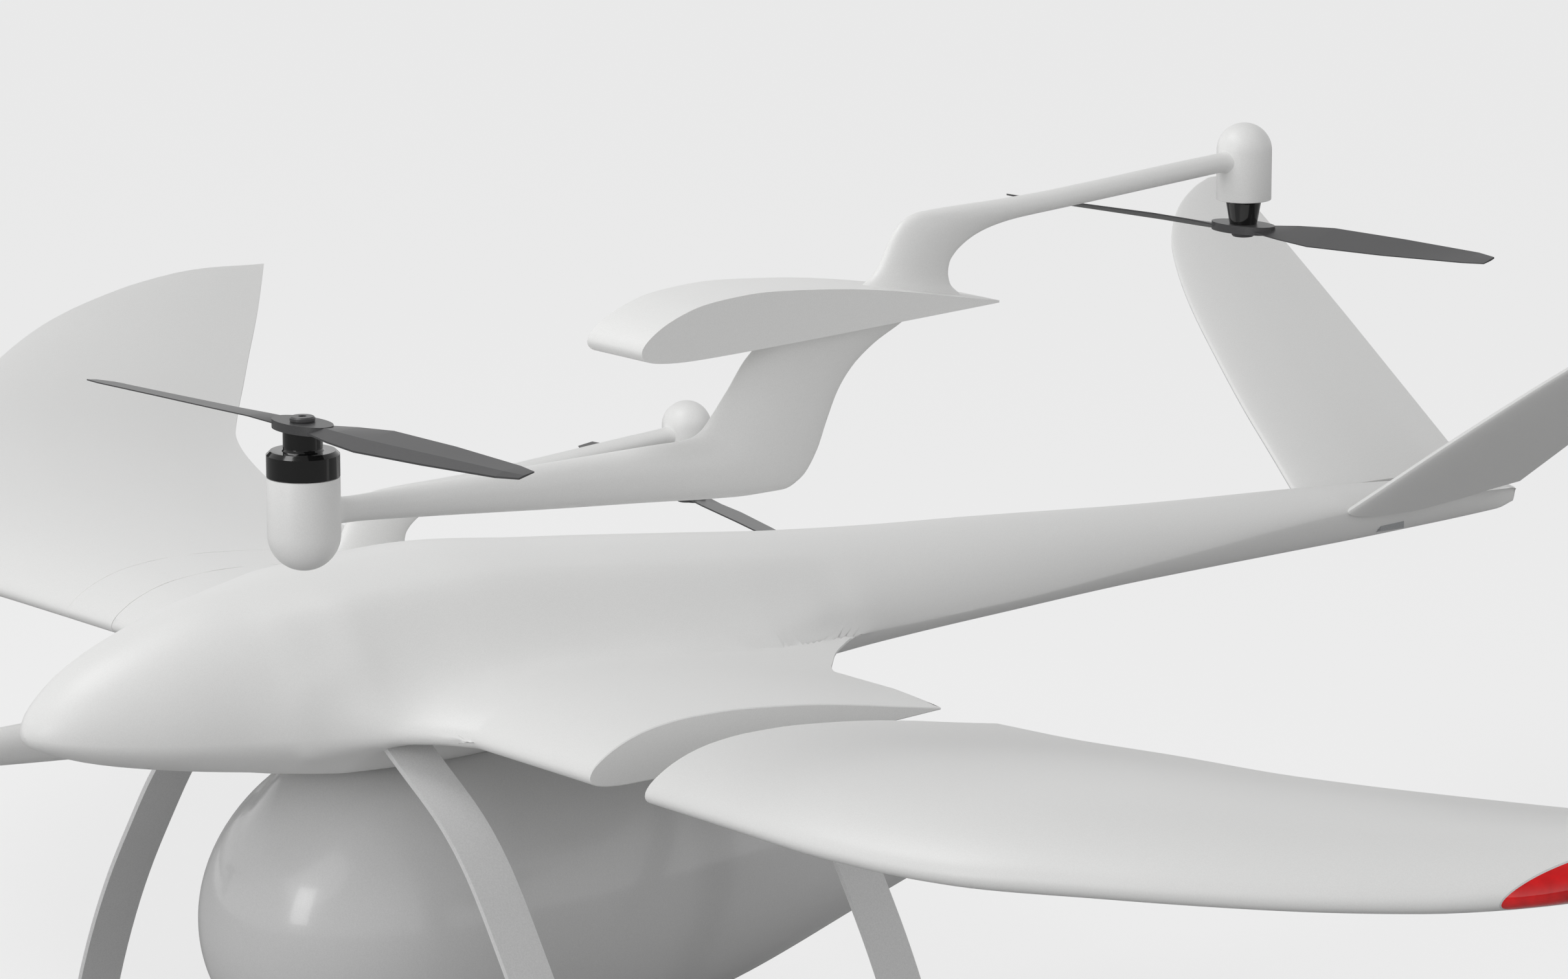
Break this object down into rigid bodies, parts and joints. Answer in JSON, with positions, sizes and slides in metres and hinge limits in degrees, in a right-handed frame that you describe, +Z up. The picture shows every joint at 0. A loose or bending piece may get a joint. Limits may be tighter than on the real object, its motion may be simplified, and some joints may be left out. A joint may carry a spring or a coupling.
{
  "type": "fixed wing drone",
  "caption": "White fixed wing drone with modular lift booms, two-blade rotors, V tail, teardrop payload pod and arched landing legs, one lift module raised out of the wing.",
  "frame": {"origin": "on the ground, under the middle of the whole object's box, feet at z = 0", "axes": "+X to port, +Y aft towards the tail, +Z up; the nose points along -Y"},
  "size_m": [3.26, 2.2214, 1.141],
  "materials": {
    "body_white": "satin white lacquer over carbon laminate",
    "wing_white": "satin white lacquer over carbon laminate",
    "pod_white": "glossier white lacquer",
    "leg_white": "satin white lacquer",
    "foot_rubber": "matt black rubber",
    "blade_black": "satin dark grey moulded blade",
    "motor_black": "gloss black anodised",
    "stator_metal": "bare metal and windings",
    "lens_red": "clear red, glossy",
    "lens_green": "clear green, glossy",
    "seal_grey": "pale grey seal",
    "board_green": "circuit board",
    "carbon_tube": "carbon fibre",
    "former_ply": "birch plywood",
    "machined_aluminium": "machined",
    "screw_steel": "black steel",
    "battery_wrap": "shrink wrap",
    "case_black": "moulded black"
  },
  "bodies": {
    "airframe": {"centre_body_shell": "body_white", "belly_hatch": "body_white", "hatch_screws": "screw_steel", "hatch_posts": "machined_aluminium", "front_former": "former_ply", "spar_carrier": "former_ply", "centre_spar": "carbon_tube", "equipment_tray": "former_ply", "pod_mount_plate": "machined_aluminium", "battery_pack": "battery_wrap", "flight_controller": "case_black", "telemetry_radio": "case_black", "tail_bearing_block": "machined_aluminium", "tail_servos": "case_black", "payload_pod_shell": "pod_white", "pod_screws": "screw_steel", "port_front_leg": "leg_white", "starboard_front_leg": "leg_white", "port_rear_leg": "leg_white", "starboard_rear_leg": "leg_white", "foot_pads": "foot_rubber", "leg_brackets": "machined_aluminium", "leg_screws": "screw_steel"},
    "port_outer_wing": {"port_outer_skin": "wing_white", "port_outer_spar": "carbon_tube", "port_nav_lens": "lens_red", "port_nav_lens_seal": "seal_grey", "port_nav_light_board": "board_green"},
    "port_lift_module": {"port_wing_segment": "wing_white", "port_segment_spar": "carbon_tube", "port_front_boom": "body_white", "port_rear_boom": "body_white", "port_front_stator": "stator_metal", "port_rear_stator": "stator_metal", "port_speed_controllers": "board_green"},
    "port_tail_fin": {"port_fin": "wing_white", "port_fin_shaft": "screw_steel"},
    "port_front_rotor": {"port_front_motor_bell": "motor_black", "port_front_propeller": "blade_black"},
    "port_rear_rotor": {"port_rear_motor_bell": "motor_black", "port_rear_propeller": "blade_black"},
    "starboard_outer_wing": {"starboard_outer_skin": "wing_white", "starboard_outer_spar": "carbon_tube", "starboard_nav_lens": "lens_green", "starboard_nav_lens_seal": "seal_grey", "starboard_nav_light_board": "board_green"},
    "starboard_lift_module": {"starboard_wing_segment": "wing_white", "starboard_segment_spar": "carbon_tube", "starboard_front_boom": "body_white", "starboard_rear_boom": "body_white", "starboard_front_stator": "stator_metal", "starboard_rear_stator": "stator_metal", "starboard_speed_controllers": "board_green"},
    "starboard_tail_fin": {"starboard_fin": "wing_white", "starboard_fin_shaft": "screw_steel"},
    "starboard_front_rotor": {"starboard_front_motor_bell": "motor_black", "starboard_front_propeller": "blade_black"},
    "starboard_rear_rotor": {"starboard_rear_motor_bell": "motor_black", "starboard_rear_propeller": "blade_black"}
  },
  "joints": [
    {"name": "port_outer_wing_pull", "type": "slide", "parent": "airframe", "child": "port_outer_wing", "axis": [1, 0, 0], "range_m": [0, 0.25]},
    {"name": "port_module_lift", "type": "slide", "parent": "airframe", "child": "port_lift_module", "axis": [0, 0, 1], "range_m": [-0.455, 0]},
    {"name": "port_front_propeller_spin", "type": "hinge", "parent": "port_lift_module", "child": "port_front_rotor", "pos_m": [0.487, -1.0713, 0.915], "axis": [0, 0, 1], "continuous": true},
    {"name": "port_rear_propeller_spin", "type": "hinge", "parent": "port_lift_module", "child": "port_rear_rotor", "pos_m": [0.487, 0.1757, 1.057], "axis": [0, 0, 1], "continuous": true},
    {"name": "port_fin_pitch", "type": "hinge", "parent": "airframe", "child": "port_tail_fin", "pos_m": [0.04288, 0.8707, 0.55315], "axis": [0.809, 0, 0.5878], "range_deg": [-20, 20]},
    {"name": "starboard_outer_wing_pull", "type": "slide", "parent": "airframe", "child": "starboard_outer_wing", "axis": [-1, 0, 0], "range_m": [0, 0.25]},
    {"name": "starboard_module_lift", "type": "slide", "parent": "airframe", "child": "starboard_lift_module", "axis": [0, 0, 1], "range_m": [0, 0.455]},
    {"name": "starboard_front_propeller_spin", "type": "hinge", "parent": "starboard_lift_module", "child": "starboard_front_rotor", "pos_m": [-0.487, -1.0713, 0.46], "axis": [0, 0, 1], "continuous": true},
    {"name": "starboard_rear_propeller_spin", "type": "hinge", "parent": "starboard_lift_module", "child": "starboard_rear_rotor", "pos_m": [-0.487, 0.1757, 0.602], "axis": [0, 0, 1], "continuous": true},
    {"name": "starboard_fin_pitch", "type": "hinge", "parent": "airframe", "child": "starboard_tail_fin", "pos_m": [-0.04288, 0.8707, 0.55315], "axis": [-0.809, 0, 0.5878], "range_deg": [-20, 20]}
  ]
}
